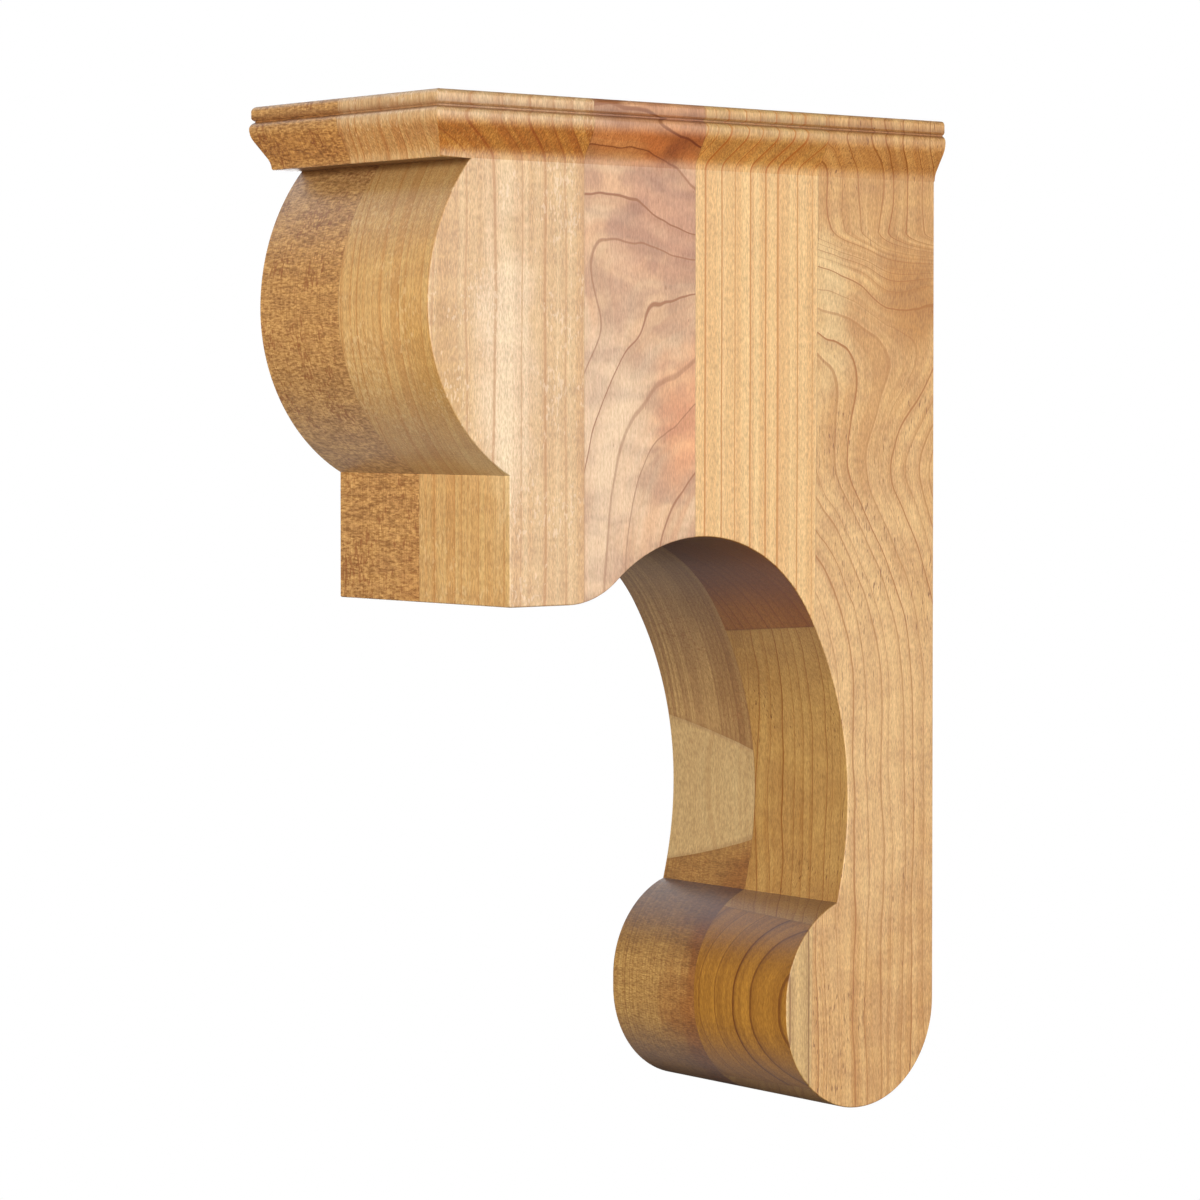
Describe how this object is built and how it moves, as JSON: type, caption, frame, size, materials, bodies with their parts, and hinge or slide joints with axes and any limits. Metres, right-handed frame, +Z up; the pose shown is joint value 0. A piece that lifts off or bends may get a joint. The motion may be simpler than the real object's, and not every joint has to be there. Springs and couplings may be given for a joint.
{
  "type": "wooden corbel bracket",
  "caption": "Solid maple corbel bracket: moulded cap, scroll front over a block, and an arched leg ending in a foot scroll; fixed to a wall to carry a shelf, mantel or worktop.",
  "frame": {"origin": "on the wall face of the back, at the middle of the corbel's width and of its height", "axes": "+Z up, +Y out of the back into the wall it is fixed to, so the corbel stands out towards -Y; +X to the right of a person who faces the wall"},
  "size_m": [0.0994, 0.216, 0.3308],
  "materials": {
    "right_front_maple": "pale straight-grained maple, satin clear lacquer",
    "right_second_maple": "pinkish-brown heartwood maple with wavy flat-sawn figure, satin clear lacquer",
    "right_third_maple": "golden maple with straight dark lines, satin clear lacquer",
    "right_back_maple": "tan maple with a swirled figure that runs out into straight lines, satin clear lacquer",
    "right_scroll_nose_maple": "amber flat-sawn maple with nested arcs, satin clear lacquer",
    "left_front_maple": "quarter-sawn maple with reddish ray flecks, satin clear lacquer",
    "left_second_maple": "plain golden maple, satin clear lacquer",
    "left_third_maple": "grey-brown quarter-sawn maple with light streaks, satin clear lacquer",
    "left_back_maple": "light yellowish maple, satin clear lacquer",
    "left_scroll_nose_maple": "orange-brown flecked quarter-sawn maple, satin clear lacquer"
  },
  "bodies": {
    "root": {"right_front_stave": "right_front_maple", "right_second_stave": "right_second_maple", "right_third_stave": "right_third_maple", "right_back_stave": "right_back_maple", "right_scroll_nose": "right_scroll_nose_maple", "left_front_stave": "left_front_maple", "left_second_stave": "left_second_maple", "left_third_stave": "left_third_maple", "left_back_stave": "left_back_maple", "left_scroll_nose": "left_scroll_nose_maple"}
  },
  "joints": []
}
